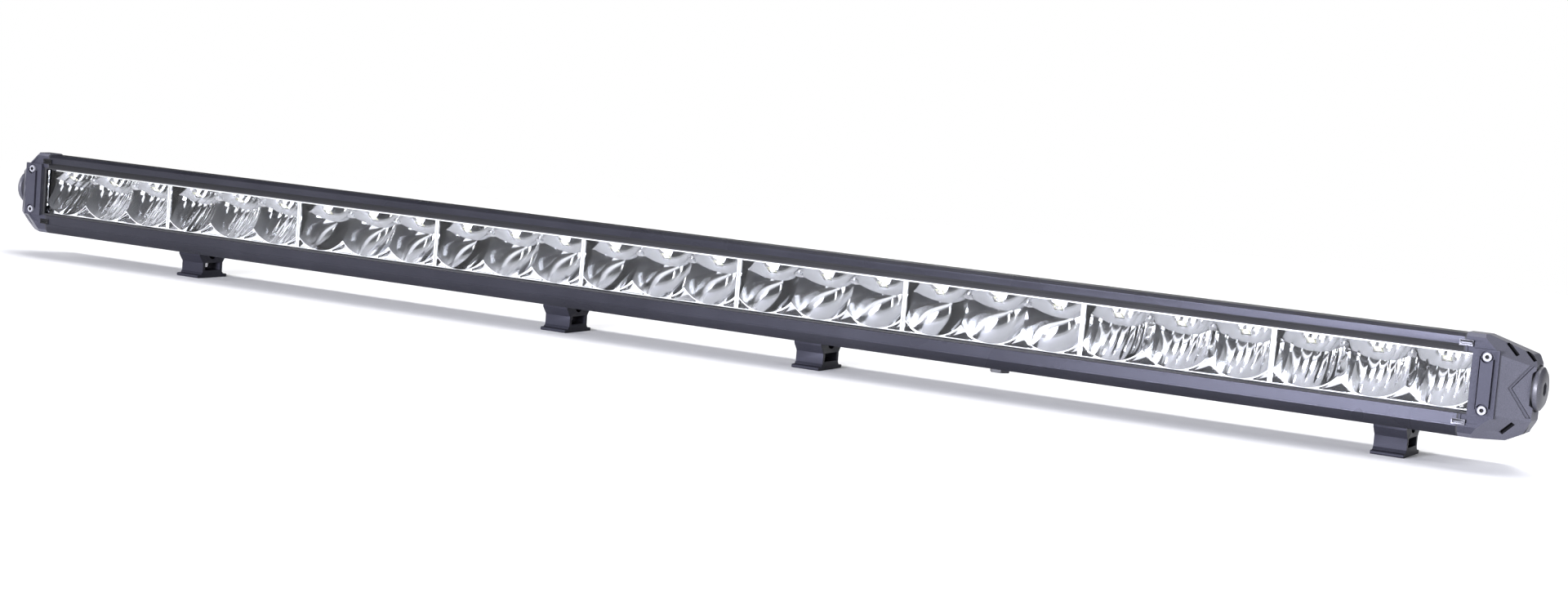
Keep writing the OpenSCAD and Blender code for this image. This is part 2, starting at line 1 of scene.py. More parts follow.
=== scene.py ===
import json
import math

import bmesh
import bpy
import numpy as np
from mathutils import Matrix, Vector


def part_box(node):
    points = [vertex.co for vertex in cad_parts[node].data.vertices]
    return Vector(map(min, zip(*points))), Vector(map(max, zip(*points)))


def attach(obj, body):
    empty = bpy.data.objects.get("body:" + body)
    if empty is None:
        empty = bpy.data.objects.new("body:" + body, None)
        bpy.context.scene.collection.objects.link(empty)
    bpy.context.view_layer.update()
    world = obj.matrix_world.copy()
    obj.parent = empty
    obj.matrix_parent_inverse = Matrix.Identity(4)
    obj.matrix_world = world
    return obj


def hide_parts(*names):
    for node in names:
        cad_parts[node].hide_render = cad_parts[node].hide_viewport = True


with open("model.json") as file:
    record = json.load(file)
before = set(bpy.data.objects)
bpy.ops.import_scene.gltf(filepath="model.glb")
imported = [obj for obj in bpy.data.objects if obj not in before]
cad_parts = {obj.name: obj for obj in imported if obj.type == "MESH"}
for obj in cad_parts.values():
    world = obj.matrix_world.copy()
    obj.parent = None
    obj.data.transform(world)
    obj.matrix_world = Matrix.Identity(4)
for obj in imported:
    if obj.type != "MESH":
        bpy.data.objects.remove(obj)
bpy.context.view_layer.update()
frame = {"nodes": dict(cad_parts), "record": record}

# ---------- Camera ----------
# It stands to the right of the bar and a little above it, and looks along the bar from its
# right end, so that the far left end is small.
CAMERA_PLACE = (1.0312, -1.7330, 0.2417)
VIEW_RIGHT = (0.87278, 0.48126, 0.08155)
VIEW_BACK = (0.47315, -0.87518, 0.10096)
camera = bpy.data.objects.new("camera", bpy.data.cameras.new("camera"))
bpy.context.scene.collection.objects.link(camera)
camera.data.lens = 62.3
camera.data.sensor_width = 36
camera.data.clip_start = 0.05
camera.data.clip_end = 300
view_right = Vector(VIEW_RIGHT).normalized()
view_back = Vector(VIEW_BACK).normalized()
view_up = view_back.cross(view_right).normalized()
view_right = view_up.cross(view_back)
camera.matrix_world = (
    Matrix.Translation(CAMERA_PLACE)
    @ Matrix((view_right, view_up, view_back)).transposed().to_4x4()
)
bpy.context.scene.camera = camera

# ---------- Studio ----------
# A plain pale floor that fades into a pale surround, and soft light panels. Above the horizon
# the room is dim, as a studio is, so that the bright metal has something dark to show.
FLOOR_CORNERS = [(-4, -4, 0), (4, -4, 0), (4, 4, 0), (-4, 4, 0)]
FLOOR_FADE = (0.9, 1.7)
HORIZON = 0.035
ROOM_STARTS = 0.075
PALE_SURROUND = (1.0, 1.0, 1.0, 1)
DIM_ROOM = (0.020, 0.021, 0.027, 1)
COOL_WHITE = (0.93, 0.94, 1.0)
COLD_WHITE = (0.86, 0.87, 1.0)
floor_mesh = bpy.data.meshes.new("studio_floor")
floor_mesh.from_pydata(FLOOR_CORNERS, [], [(0, 1, 2, 3)])
studio_floor = bpy.data.objects.new("studio_floor", floor_mesh)
bpy.context.scene.collection.objects.link(studio_floor)
floor_paint = bpy.data.materials.new("studio_floor")
floor_paint.use_nodes = True
floor_tree = floor_paint.node_tree
floor_shader = floor_tree.nodes["Principled BSDF"]
floor_shader.inputs["Base Color"].default_value = (0.93, 0.93, 0.94, 1)
floor_shader.inputs["Roughness"].default_value = 0.9
floor_place = floor_tree.nodes.new("ShaderNodeTexCoord")
floor_distance = floor_tree.nodes.new("ShaderNodeVectorMath")
floor_distance.operation = "LENGTH"
floor_fade = floor_tree.nodes.new("ShaderNodeMapRange")
floor_fade.interpolation_type = "SMOOTHSTEP"
floor_fade.inputs["From Min"].default_value = FLOOR_FADE[0]
floor_fade.inputs["From Max"].default_value = FLOOR_FADE[1]
floor_fade.inputs["To Min"].default_value = 1
floor_fade.inputs["To Max"].default_value = 0
floor_tree.links.new(floor_place.outputs["Object"], floor_distance.inputs[0])
floor_tree.links.new(floor_distance.outputs["Value"], floor_fade.inputs["Value"])
floor_tree.links.new(floor_fade.outputs["Result"], floor_shader.inputs["Alpha"])
floor_mesh.materials.append(floor_paint)

room = bpy.data.worlds.new("room")
bpy.context.scene.world = room
room.use_nodes = True
sky = room.node_tree
sky_direction = sky.nodes.new("ShaderNodeTexCoord")
sky_parts = sky.nodes.new("ShaderNodeSeparateXYZ")
sky_ramp = sky.nodes.new("ShaderNodeValToRGB")
sky_ramp.color_ramp.elements[0].position = HORIZON
sky_ramp.color_ramp.elements[0].color = PALE_SURROUND
sky_ramp.color_ramp.elements[1].position = ROOM_STARTS
sky_ramp.color_ramp.elements[1].color = DIM_ROOM
sky.links.new(sky_direction.outputs["Generated"], sky_parts.inputs[0])
sky.links.new(sky_parts.outputs["Z"], sky_ramp.inputs["Fac"])
sky.links.new(sky_ramp.outputs["Color"], sky.nodes["Background"].inputs["Color"])
bpy.context.scene.view_settings.view_transform = "Standard"
bpy.context.scene.cycles.glossy_bounces = 8


def light_panel(name, place, target, size, power, colour=(1, 1, 1)):
    """A rectangular soft light at a place, turned to face a target."""
    lamp = bpy.data.lights.new(name, "AREA")
    lamp.shape = "RECTANGLE"
    lamp.size, lamp.size_y = size
    lamp.energy = power
    lamp.color = colour
    holder = bpy.data.objects.new(name, lamp)
    bpy.context.scene.collection.objects.link(holder)
    holder.location = place
    towards = Vector(target) - Vector(place)
    holder.rotation_euler = towards.to_track_quat("-Z", "Y").to_euler()


light_panel(
    "overhead_panel", place=(0.0, 0.5, 2.6), target=(0, 0, 0), size=(3.2, 1.2), power=70
)
light_panel(
    "front_panel", place=(0.3, -2.4, 0.62), target=(0.5, 0, 0.05), size=(1.5, 0.74), power=42,
    colour=COOL_WHITE,
)
light_panel(
    "low_panel", place=(-0.02, -2.35, 0.16), target=(0.6, 0, 0.05), size=(0.5, 0.26), power=140,
    colour=COLD_WHITE,
)
light_panel(
    "high_panel", place=(-1.2, -2.0, 1.55), target=(0, 0, 0.05), size=(2.4, 0.8), power=9,
    colour=COOL_WHITE,
)
light_panel(
    "left_panel", place=(-3.2, -0.9, 0.9), target=(-0.2, 0, 0.05), size=(0.9, 1.6), power=40
)
light_panel(
    "slim_panel", place=(-2.3, -2.2, 0.75), target=(-0.3, 0, 0.05), size=(0.16, 1.0), power=16
)
light_panel(
    "right_panel", place=(2.2, -0.35, 0.8), target=(0.6, 0, 0.05), size=(1.0, 1.0), power=22,
    colour=COOL_WHITE,
)
light_panel(
    "back_panel", place=(0, 2.6, 1.6), target=(0, 0, 0.1), size=(3.0, 1.2), power=30
)

# ---------- Housing ----------
# One aluminium extrusion, sawn to length and powder coated dark with a fine sandy texture.
# It holds the lens behind its bezel and has cooling slots above and a T-slot underneath.
MM = 0.001  # metres; the sizes of all pieces are given in mm
COAT_SHEEN = (0.80, 0.81, 1.0, 1)
DRIFT_SCALE = 18.0  # noise scale of the slow changes over a whole piece
LEAST_FLECK = 0.45
SAME_POINT = 2e-6  # metres
SAME_PLANE = math.radians(0.5)
SHADED_BEZEL_STRIP = (20.1, 23.9)  # heights above the window's middle between which the bezel's face, from the window's edge to the groove's top, is painted in shade
BEZEL_REACH = 1.5  # how far behind the housing's front its bezel's faces lie


def node_group(name, inputs, outputs):
    """An empty shader node group with named sockets, and its group input and output nodes."""
    group = bpy.data.node_groups.new(name, "ShaderNodeTree")
    for label, kind, value in inputs:
        socket = group.interface.new_socket(label, in_out="INPUT", socket_type=kind)
        socket.default_value = value
    for label, kind in outputs:
        group.interface.new_socket(label, in_out="OUTPUT", socket_type=kind)
    return group, group.nodes.new("NodeGroupInput"), group.nodes.new("NodeGroupOutput")


def set_or_link(group, value, socket):
    """Gives a socket a plain number, or links another node's output to it."""
    if isinstance(value, (int, float)):
        socket.default_value = value
    else:
        group.links.new(value, socket)


def noise(group, scale, detail):
    """A noise texture on the object's own coordinates; its Fac output varies from 0 to 1."""
    texture = group.nodes.new("ShaderNodeTexNoise")
    texture.inputs["Detail"].default_value = detail
    place = group.nodes.new("ShaderNodeTexCoord")
    group.links.new(place.outputs["Object"], texture.inputs["Vector"])
    set_or_link(group, scale, texture.inputs["Scale"])
    return texture.outputs["Fac"]


def spread(group, value, low, high):
    """Maps a value from 0.3..0.7, where most noise lies, to low..high."""
    mapper = group.nodes.new("ShaderNodeMapRange")
    mapper.inputs["From Min"].default_value = 0.3
    mapper.inputs["From Max"].default_value = 0.7
    group.links.new(value, mapper.inputs["Value"])
    set_or_link(group, low, mapper.inputs["To Min"])
    set_or_link(group, high, mapper.inputs["To Max"])
    return mapper.outputs["Result"]


def blend_colours(group, share, first, second):
    """Mixes two colours by a share from 0 to 1."""
    mixer = group.nodes.new("ShaderNodeMix")
    mixer.data_type = "RGBA"
    group.links.new(share, mixer.inputs["Factor"])
    group.links.new(first, mixer.inputs["A"])
    group.links.new(second, mixer.inputs["B"])
    return mixer.outputs["Result"]


def grained_finish():
    """Speckled colour, uneven roughness and a fine relief, for paint, plastic, rubber and metal.
    Share of the second colour = fine grain noise, softened by slow noise over the whole piece."""
    group, given, made = node_group(
        "grained_finish",
        [
            ("Colour", "NodeSocketColor", (0.05, 0.05, 0.05, 1)),
            ("Fleck", "NodeSocketColor", (0.1, 0.1, 0.1, 1)),
            ("Grain", "NodeSocketFloat", 2000.0),
            ("Smoothest", "NodeSocketFloat", 0.4),
            ("Roughest", "NodeSocketFloat", 0.6),
        ],
        [
            ("Colour", "NodeSocketColor"),
            ("Roughness", "NodeSocketFloat"),
            ("Height", "NodeSocketFloat"),
        ],
    )
    fine = noise(group, given.outputs["Grain"], detail=3)
    slow = noise(group, DRIFT_SCALE, detail=2)
    share = group.nodes.new("ShaderNodeMath")
    share.operation = "MULTIPLY"
    group.links.new(spread(group, fine, 0.0, 1.0), share.inputs[0])
    group.links.new(spread(group, slow, LEAST_FLECK, 1.0), share.inputs[1])
    colour = blend_colours(
        group, share.outputs[0], given.outputs["Colour"], given.outputs["Fleck"]
    )
    group.links.new(colour, made.inputs["Colour"])
    uneven = spread(group, slow, given.outputs["Smoothest"], given.outputs["Roughest"])
    group.links.new(uneven, made.inputs["Roughness"])
    group.links.new(fine, made.inputs["Height"])
    return group


grain_group = grained_finish()


def grained_material(name, colour, fleck, grain, roughness, relief, **fixed):
    """A Principled material fed by the grained finish, with fixed values on its own sockets.
    Grain is the noise's scale per metre, roughness its two ends, and relief a height in mm."""
    material = bpy.data.materials.new(name)
    material.use_nodes = True
    tree = material.node_tree
    shader = tree.nodes["Principled BSDF"]
    finish = tree.nodes.new("ShaderNodeGroup")
    finish.node_tree = grain_group
    finish.inputs["Colour"].default_value = (*colour, 1)
    finish.inputs["Fleck"].default_value = (*fleck, 1)
    finish.inputs["Grain"].default_value = grain
    finish.inputs["Smoothest"].default_value = roughness[0]
    finish.inputs["Roughest"].default_value = roughness[1]
    bump = tree.nodes.new("ShaderNodeBump")
    bump.inputs["Strength"].default_value = 1.0
    bump.inputs["Distance"].default_value = relief * MM
    tree.links.new(finish.outputs["Colour"], shader.inputs["Base Color"])
    tree.links.new(finish.outputs["Roughness"], shader.inputs["Roughness"])
    tree.links.new(finish.outputs["Height"], bump.inputs["Height"])
    tree.links.new(bump.outputs["Normal"], shader.inputs["Normal"])
    for socket, value in fixed.items():
        shader.inputs[socket.replace("_", " ")].default_value = value
    return material


def softened(node, name, materials, width, corner=34):
    """A copy of a CAD node with its flats joined and its edges rounded to a width in mm.
    An edge is rounded where its two faces turn by more than the corner angle in degrees."""
    mesh = frame["nodes"][node].data.copy()
    mesh.name = name
    work = bmesh.new()
    work.from_mesh(mesh)
    bmesh.ops.remove_doubles(work, verts=work.verts, dist=SAME_POINT)
    bmesh.ops.dissolve_limit(work, angle_limit=SAME_PLANE, verts=work.verts, edges=work.edges)
    work.to_mesh(mesh)
    work.free()
    piece = bpy.data.objects.new(name, mesh)
    bpy.context.scene.collection.objects.link(piece)
    mesh.materials.clear()
    for material in materials:
        mesh.materials.append(material)
    mesh.shade_smooth()
    mesh.set_sharp_from_angle(angle=math.radians(corner))
    rounding = piece.modifiers.new("edges", "BEVEL")
    rounding.width = width * MM
    rounding.segments = 2
    rounding.limit_method = "ANGLE"
    rounding.angle_limit = math.radians(corner)
    rounding.harden_normals = True
    rounding.miter_outer = "MITER_ARC"
    body = next(b for b, ns in frame["record"]["behaviour"]["bodies"].items() if node in ns)
    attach(piece, body)
    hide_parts(node)
    return piece


def finished(node, material):
    """Gives a CAD node that stays its material."""
    part = frame["nodes"][node]
    part.data.materials.clear()
    part.data.materials.append(material)


def face_values(piece, value):
    """The middle or the normal of every face of a piece, as three arrays x, y and z."""
    faces = piece.data.polygons
    values = np.empty(3 * len(faces), np.float32)
    faces.foreach_get(value, values)
    return values.reshape(-1, 3).T


def paint_faces(piece, chosen):
    """Gives every face of a piece the material with the number chosen for it."""
    piece.data.polygons.foreach_set("material_index", chosen.astype(np.int32))


sandy_coat = grained_material(
    "sandy_powder_coat", colour=(0.006, 0.006, 0.008), fleck=(0.022, 0.022, 0.027), grain=2600,
    roughness=(0.26, 0.33), relief=0.05, Specular_Tint=COAT_SHEEN, Specular_IOR_Level=0.22,
)
# A near-black material that paints shade into recesses: the bezel's groove with its strip down to
# the window, the caps' vents and the clamp screws' sockets.
painted_recess_shade = grained_material(
    "painted_recess_shade", colour=(0.003, 0.003, 0.004), fleck=(0.007, 0.007, 0.008), grain=2600,
    roughness=(0.6, 0.7), relief=0.02, Specular_IOR_Level=0.2,
)
extrusion = softened("housing", "housing_extrusion", [sandy_coat, painted_recess_shade], width=0.35)
window_middle = (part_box("lens")[0].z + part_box("lens")[1].z) / 2
# The bezel's groove and the strip of face between it and the window get painted shade.
_, face_y, face_z = face_values(extrusion, "center")
face_up = (face_z - window_middle) / MM
in_painted_shade = (SHADED_BEZEL_STRIP[0] < face_up) & (face_up < SHADED_BEZEL_STRIP[1])
paint_faces(extrusion, in_painted_shade & (face_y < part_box("housing")[0].y + BEZEL_REACH * MM))

# ---------- Reflectors ----------
# Nine plastic mouldings, metallised mirror bright, each with three bowls under a sloping deck.
# The two at either end are fluted and spread the light; the five between them are smooth.
MODULES = range(1, 10)
FLUTED = (1, 2, 8, 9)
BOWL_PITCH = 45.0
BOWLS = 3
BOWL_RADIUS = 30.1
BOWL_DEPTH = 19.95
BOWL_AXIS_UP = 12.0  # above the window's middle, as all heights here
BOWL_ROWS = 41
FLUTES = 6
FLUTE_DEPTH = 0.8
FLUTE_FADE = 0.2  # share of the radius
FRONT_HALF = 18.5  # half the height of the front
WALL = 1.5
MODULE_GAP = 0.15
END_WALL = 1.6
COLUMNS = 216
CLEAR_OF_WALL = 0.5
BORDER = 0.8
BORDER_STEP = 0.25
BORDER_SHARES = (0.30, 0.40)  # most of the height that border and step take up
POCKET_LEAST = 2.6  # lowest front that has a pocket
POCKET_FADE = 0.8
POCKET_ROWS = slice(2, 5)
POCKET_SET_BACK = 0.3
POCKET_LEAN = math.tan(math.radians(28))
DECK_SLOPE = math.radians(38)
DECK_FRONT = (1.5, 17.5)  # depth and height of the deck's front edge
DECK_ROWS = (6, 3, 3)  # below, across and above the light source's window
SEAM_LOWEST = -16.0
SEAM_HALVINGS = 30
WINDOW_ALONG = (5.5, 12.5)  # down the deck from its front edge
WINDOW_SHARES = (0.4, 0.8)  # most of the deck's length, where the deck is short
WINDOW_HALF = 3.75
ON_DECK = 0.995  # least cosine between a deck face's normal and the deck's
REFLECTOR_CREASE = math.radians(24)
HAZE_SHADE = 0.93  # share of the metal's tint where it is haziest
deck_down = np.array([0, math.cos(DECK_SLOPE), -math.sin(DECK_SLOPE)])
deck_out = np.array([0, -math.sin(DECK_SLOPE), -math.cos(DECK_SLOPE)])


def closed_shell(front, back, kept):
    """Two grids of points with the same shape become a closed shell: the front faces, the back
    faces turned round, and a strip along every open edge. kept says which cells are there."""
    columns, rows = front.shape[:2]
    index = np.arange(columns * rows).reshape(columns, rows)
    cells = np.stack(
        [index[:-1, :-1], index[1:, :-1], index[1:, 1:], index[:-1, 1:]], axis=-1
    )[kept]
    sides = np.concatenate([cells[:, [k, (k + 1) % 4]] for k in range(4)])
    key = np.sort(sides, axis=1) @ np.array([columns * rows, 1])
    _, first, count = np.unique(key, return_index=True, return_counts=True)
    edge = sides[first[count == 1]]
    lift = columns * rows
    strip = np.stack([edge[:, 1], edge[:, 0], edge[:, 0] + lift, edge[:, 1] + lift], axis=1)
    points = np.concatenate([front.reshape(-1, 3), back.reshape(-1, 3)])
    return points, np.concatenate([cells, cells[:, ::-1] + lift, strip])


def mesh_from(name, points, faces):
    """A mesh from arrays of points in metres and of four-cornered faces. Points that no face
    uses are left out."""
    used, faces = np.unique(faces, return_inverse=True)
    faces = faces.reshape(-1, 4)
    mesh = bpy.data.meshes.new(name)
    mesh.vertices.add(len(used))
    mesh.vertices.foreach_set("co", points[used].astype(np.float32).ravel())
    mesh.loops.add(faces.size)
    mesh.loops.foreach_set("vertex_index", faces.astype(np.int32).ravel())
    mesh.polygons.add(len(faces))
    mesh.polygons.foreach_set("loop_start", np.arange(0, faces.size, 4, dtype=np.int32))
    mesh.update(calc_edges=True)
    mesh.validate()
    return mesh


def from_bowl_middle(along):
    """Signed distance along the module from the middle of the nearest bowl."""
    return along - BOWL_PITCH * np.round(along / BOWL_PITCH)


def bowl_depth(across, up, fluted):
    """Depth of a bowl behind the front plane: a paraboloid turned about a level axis through the
    light source, which is its focus. Flutes are upright troughs, deepest in their middles, that
    fade out towards the rim."""
    radius = np.hypot(across, up - BOWL_AXIS_UP) / BOWL_RADIUS
    cup = BOWL_DEPTH * np.clip(1 - radius**2, 0, 1)
    if not fluted:
        return cup
    place = across / (BOWL_PITCH / FLUTES)
    trough = 1 - (2 * (place - np.floor(place)) - 1) ** 2
    fade = np.clip((1 - radius) / FLUTE_FADE, 0, 1)
    return cup - FLUTE_DEPTH * (1 - trough) * fade


def deck_depth(up):
    """Depth of the deck's underside at a height: it runs back in a straight line as it falls."""
    return DECK_FRONT[0] + (DECK_FRONT[1] - up) / math.tan(DECK_SLOPE)


def seam_height(across, fluted):
    """Height where bowl and deck meet: the span between a low and a high guess is halved again
    and again, and the half is kept in which the deeper of the two surfaces changes."""
    low = np.full_like(across, SEAM_LOWEST)
    high = np.full_like(across, DECK_FRONT[1])
    for _ in range(SEAM_HALVINGS):
        middle = (low + high) / 2
        under = deck_depth(middle) > bowl_depth(across, middle, fluted)
        low = np.where(under, middle, low)
        high = np.where(under, high, middle)
    return (low + high) / 2


def foot_of_front(rim):
    """Heights and depths from the lower edge up to a bowl's rim: a narrow border in the front
    plane round a pocket that leans back in proportion to its height, none where it is low."""
    tall = rim + FRONT_HALF
    step = BORDER + BORDER_STEP
    rises = [
        0 * tall,
        np.minimum(BORDER, BORDER_SHARES[0] * tall),
        np.minimum(step, BORDER_SHARES[1] * tall),
        0.5 * tall,
        np.maximum(tall - step, (1 - BORDER_SHARES[1]) * tall),
        np.maximum(tall - BORDER, (1 - BORDER_SHARES[0]) * tall),
    ]
    rise = np.stack(rises, axis=1)
    depth = np.zeros_like(rise)
    pocket = np.clip((tall - POCKET_LEAST) / POCKET_FADE, 0, 1)[:, None]
    depth[:, POCKET_ROWS] = pocket * (POCKET_SET_BACK + rise[:, POCKET_ROWS] * POCKET_LEAN)
    return rise - FRONT_HALF, depth


def deck_slope(seam):
    """Distances down the deck from its front edge, from the seam up to the edge, in even steps
    below, across and above the window that the light source looks through."""
    slope_end = ((DECK_FRONT[1] - seam) / math.sin(DECK_SLOPE))[:, None]
    window_low = np.minimum(WINDOW_ALONG[0], WINDOW_SHARES[0] * slope_end)
    window_high = np.minimum(WINDOW_ALONG[1], WINDOW_SHARES[1] * slope_end)
    stops = (slope_end, window_high, window_low, 0 * slope_end)
    stretches = [
        start + (end - start) * np.linspace(0, 1, rows + 1)[1:]
        for start, end, rows in zip(stops[:-1], stops[1:], DECK_ROWS)
    ]
    return np.concatenate(stretches, axis=1)


def reflector_points(fluted):
    """Columns of points along the module. Each column climbs from the lower edge over the foot
    of the front with its leaning pockets, up the bowl, along the underside of the deck and over
    its lip. Each end has a wall: the last column again at the front plane, then the divider's
    edge."""
    half = BOWL_PITCH * BOWLS / 2
    inner = half - MODULE_GAP - END_WALL
    along = np.linspace(-half, half, COLUMNS + 1)
    along = np.concatenate([[-inner], along[np.abs(along) < inner - CLEAR_OF_WALL], [inner]])
    across = from_bowl_middle(along)
    seam = seam_height(across, fluted)
    rim = BOWL_AXIS_UP - np.sqrt(BOWL_RADIUS**2 - across**2)
    foot_up, foot_depth = foot_of_front(rim)
    climb = np.linspace(0, 1, BOWL_ROWS)
    bowl_up = rim[:, None] + (seam - rim)[:, None] * climb[None, :]
    cup_depth = bowl_depth(across[:, None], bowl_up, fluted)
    cup_depth[:, 0] = 0
    slope = deck_slope(seam)
    deck_up = DECK_FRONT[1] - slope * math.sin(DECK_SLOPE)
    slope_depth = DECK_FRONT[0] + slope * math.cos(DECK_SLOPE)
    lip_up = np.tile([DECK_FRONT[1], FRONT_HALF], (len(along), 1))
    up = np.concatenate([foot_up, bowl_up, deck_up, lip_up], axis=1)
    depth = np.concatenate([foot_depth, cup_depth, slope_depth, np.zeros_like(lip_up)], axis=1)
    edge = half - MODULE_GAP
    along = np.concatenate([[-edge, -inner], along, [inner, edge]])
    up = np.concatenate([up[:1], up[:1], up, up[-1:], up[-1:]])
    level = np.zeros_like(depth[:1])
    depth = np.concatenate([level, level, depth, level, level])
    window_row = foot_up.shape[1] + BOWL_ROWS + DECK_ROWS[0] - 1
    return along, depth, up, window_row


def bright_metal(name, tint, roughness):
    """Mirror metal with faint drifts of haze and colour."""
    return grained_material(
        name, colour=tint, fleck=[HAZE_SHADE * c for c in tint], grain=160, roughness=roughness,
        relief=0.0, Metallic=1.0,
    )


mirror_coat = bright_metal("mirror_coat", tint=(0.90, 0.905, 0.92), roughness=(0.05, 0.10))
# A darker copy of the mirror coat: painted shade on the deck's underside above each bowl.
painted_shade_deck_coat = bright_metal("painted_shade_deck_coat", tint=(0.40, 0.405, 0.42), roughness=(0.10, 0.16))
for number in MODULES:
    node = f"reflector_{number}"
    low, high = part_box(node)
    along, depth, up, window_row = reflector_points(number in FLUTED)
    front = np.empty((*depth.shape, 3))
    front[..., 0] = (low.x + high.x) / 2 + along[:, None] * MM
    front[..., 1] = low.y + depth * MM
    front[..., 2] = low.z + (FRONT_HALF + up) * MM
    back = front + np.array([0, WALL * MM, 0])
    kept = np.ones((depth.shape[0] - 1, depth.shape[1] - 1), bool)
    over_window = np.abs(from_bowl_middle((along[1:] + along[:-1]) / 2)) < WINDOW_HALF
    kept[over_window, window_row : window_row + DECK_ROWS[1]] = False
    points, faces = closed_shell(front, back, kept)
    mesh = mesh_from(f"mirror_bowls_{number}", points, faces)
    piece = bpy.data.objects.new(mesh.name, mesh)
    bpy.context.scene.collection.objects.link(piece)
    mesh.materials.append(mirror_coat)
    mesh.materials.append(painted_shade_deck_coat)
    # Faces turned the way the deck faces get the darker coat as painted shade.
    paint_faces(piece, deck_out @ face_values(piece, "normal") > ON_DECK)
    mesh.shade_smooth()
    mesh.set_sharp_from_angle(angle=REFLECTOR_CREASE)
    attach(piece, "bar")
    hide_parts(node)

# ---------- Boards and light sources ----------
# White circuit boards on grey heat pads against the sloping wall, held by small screws. Each
# bowl has one square light source with a clear silicone dome, which looks down into it.
DOME_RADIUS = 1.9
DOME_FLATTENING = 0.85
DOME_FROM_EDGE = 9  # down the deck
DOME_SUNK = 0.3
DOME_CREASE = math.radians(40)
white_mask = grained_material(
    "white_solder_mask", colour=(0.78, 0.78, 0.74), fleck=(0.84, 0.84, 0.81), grain=900,
    roughness=(0.35, 0.5), relief=0.01,
)
heat_pad = grained_material(
    "heat_pad", colour=(0.30, 0.34, 0.39), fleck=(0.38, 0.42, 0.47), grain=1500,
    roughness=(0.75, 0.9), relief=0.03,
)
zinc = grained_material(
    "zinc_plate", colour=(0.55, 0.55, 0.57), fleck=(0.66, 0.66, 0.67), grain=700,
    roughness=(0.24, 0.38), relief=0.01, Metallic=1.0,
)
phosphor = grained_material(
    "phosphor", colour=(0.93, 0.90, 0.66), fleck=(0.97, 0.95, 0.80), grain=4000,
    roughness=(0.3, 0.45), relief=0.01,
)
silicone = grained_material(
    "clear_silicone", colour=(0.97, 0.97, 0.95), fleck=(0.99, 0.99, 0.99), grain=300,
    roughness=(0.02, 0.06), relief=0.0, Transmission_Weight=1.0, IOR=1.42,
)
for number in MODULES:
    finished(f"led_board_{number}", white_mask)
finished("thermal_pads", heat_pad)
finished("module_screws", zinc)
finished("leds", phosphor)


def dome_points(radius, rings=9, sides=24):
    """A dome on the deck: a half sphere, a little flattened, in rings from its foot to its top.
    Its foot is closed by a disc, so that the rings run from the middle of the foot outwards."""
    rise = np.concatenate([[0], np.linspace(0, math.pi / 2, rings)])
    ring = radius * np.concatenate([[0], np.cos(rise[1:])])
    turn = np.linspace(0, 2 * math.pi, sides, endpoint=False)
    x = ring[:, None] * np.cos(turn)
    y = ring[:, None] * np.sin(turn)
    z = np.repeat(DOME_FLATTENING * radius * np.sin(rise)[:, None], sides, 1)
    index = np.arange(len(rise) * sides).reshape(-1, sides)
    after = np.roll(index, -1, axis=1)
    faces = np.stack([index[:-1], after[:-1], after[1:], index[1:]], axis=-1).reshape(-1, 4)
    return np.stack([x, y, z], axis=-1).reshape(-1, 3), faces


dome, dome_faces = dome_points(DOME_RADIUS)
dome_axes = np.array([np.cross(deck_down, deck_out), deck_down, deck_out])
first_low, first_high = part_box("reflector_1")
window_up = (first_low.z + first_high.z) / 2 / MM
deck_edge = np.array([0, first_low.y / MM + DECK_FRONT[0], window_up + DECK_FRONT[1]])
seat = deck_edge + deck_down * DOME_FROM_EDGE - deck_out * DOME_SUNK
seats = np.tile(seat, (len(MODULES), BOWLS, 1))
boxes = [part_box(f"reflector_{number}") for number in MODULES]
module_middles = np.array([(low.x + high.x) / 2 / MM for low, high in boxes])
seats[..., 0] = module_middles[:, None] + BOWL_PITCH * np.arange(-1, 2)
seats = seats.reshape(-1, 1, 3)
all_points = (seats + dome @ dome_axes).reshape(-1, 3) * MM
first_point = np.arange(len(seats))[:, None, None] * len(dome)
dome_mesh = mesh_from("light_domes", all_points, (first_point + dome_faces).reshape(-1, 4))
dome_work = bmesh.new()
dome_work.from_mesh(dome_mesh)
bmesh.ops.remove_doubles(dome_work, verts=dome_work.verts, dist=SAME_POINT)
bmesh.ops.recalc_face_normals(dome_work, faces=dome_work.faces)
dome_work.to_mesh(dome_mesh)
dome_work.free()
dome_mesh.materials.append(silicone)
dome_mesh.shade_smooth()
dome_mesh.set_sharp_from_angle(angle=DOME_CREASE)
light_domes = bpy.data.objects.new("light_domes", dome_mesh)
bpy.context.scene.collection.objects.link(light_domes)
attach(light_domes, "bar")

# ---------- Electronics ----------
# A green driver board on posts in the bay behind the reflectors, with its black components,
# and red insulated wires to the boards and along the bay.
green_mask = grained_material(
    "green_solder_mask", colour=(0.02, 0.13, 0.05), fleck=(0.04, 0.2, 0.08), grain=600,
    roughness=(0.3, 0.45), relief=0.01,
)
component_case = grained_material(
    "component_case", colour=(0.02, 0.02, 0.022), fleck=(0.05, 0.05, 0.055), grain=900,
    roughness=(0.4, 0.6), relief=0.01,
)
red_insulation = grained_material(
    "red_insulation", colour=(0.42, 0.02, 0.02), fleck=(0.52, 0.05, 0.04), grain=500,
    roughness=(0.3, 0.45), relief=0.01,
)
finished("driver_board", green_mask)
finished("driver_parts", component_case)
finished("supply_wires", red_insulation)
finished("module_leads", red_insulation)

# ---------- Lens and its seal ----------
# A long strip of clear polycarbonate, 4 mm thick, pressed against a black rubber seal behind
# the bezel, so that a thin black line runs round the window.
black_rubber = grained_material(
    "black_rubber", colour=(0.010, 0.010, 0.011), fleck=(0.022, 0.022, 0.024), grain=1800,
    roughness=(0.7, 0.85), relief=0.03,
)
clear_lens = grained_material(
    "clear_polycarbonate", colour=(0.975, 0.98, 0.985), fleck=(0.985, 0.99, 0.99), grain=40,
    roughness=(0.0, 0.015), relief=0.0, Transmission_Weight=1.0, IOR=1.3,
)
finished("lens_seal", black_rubber)
finished("lens", clear_lens)

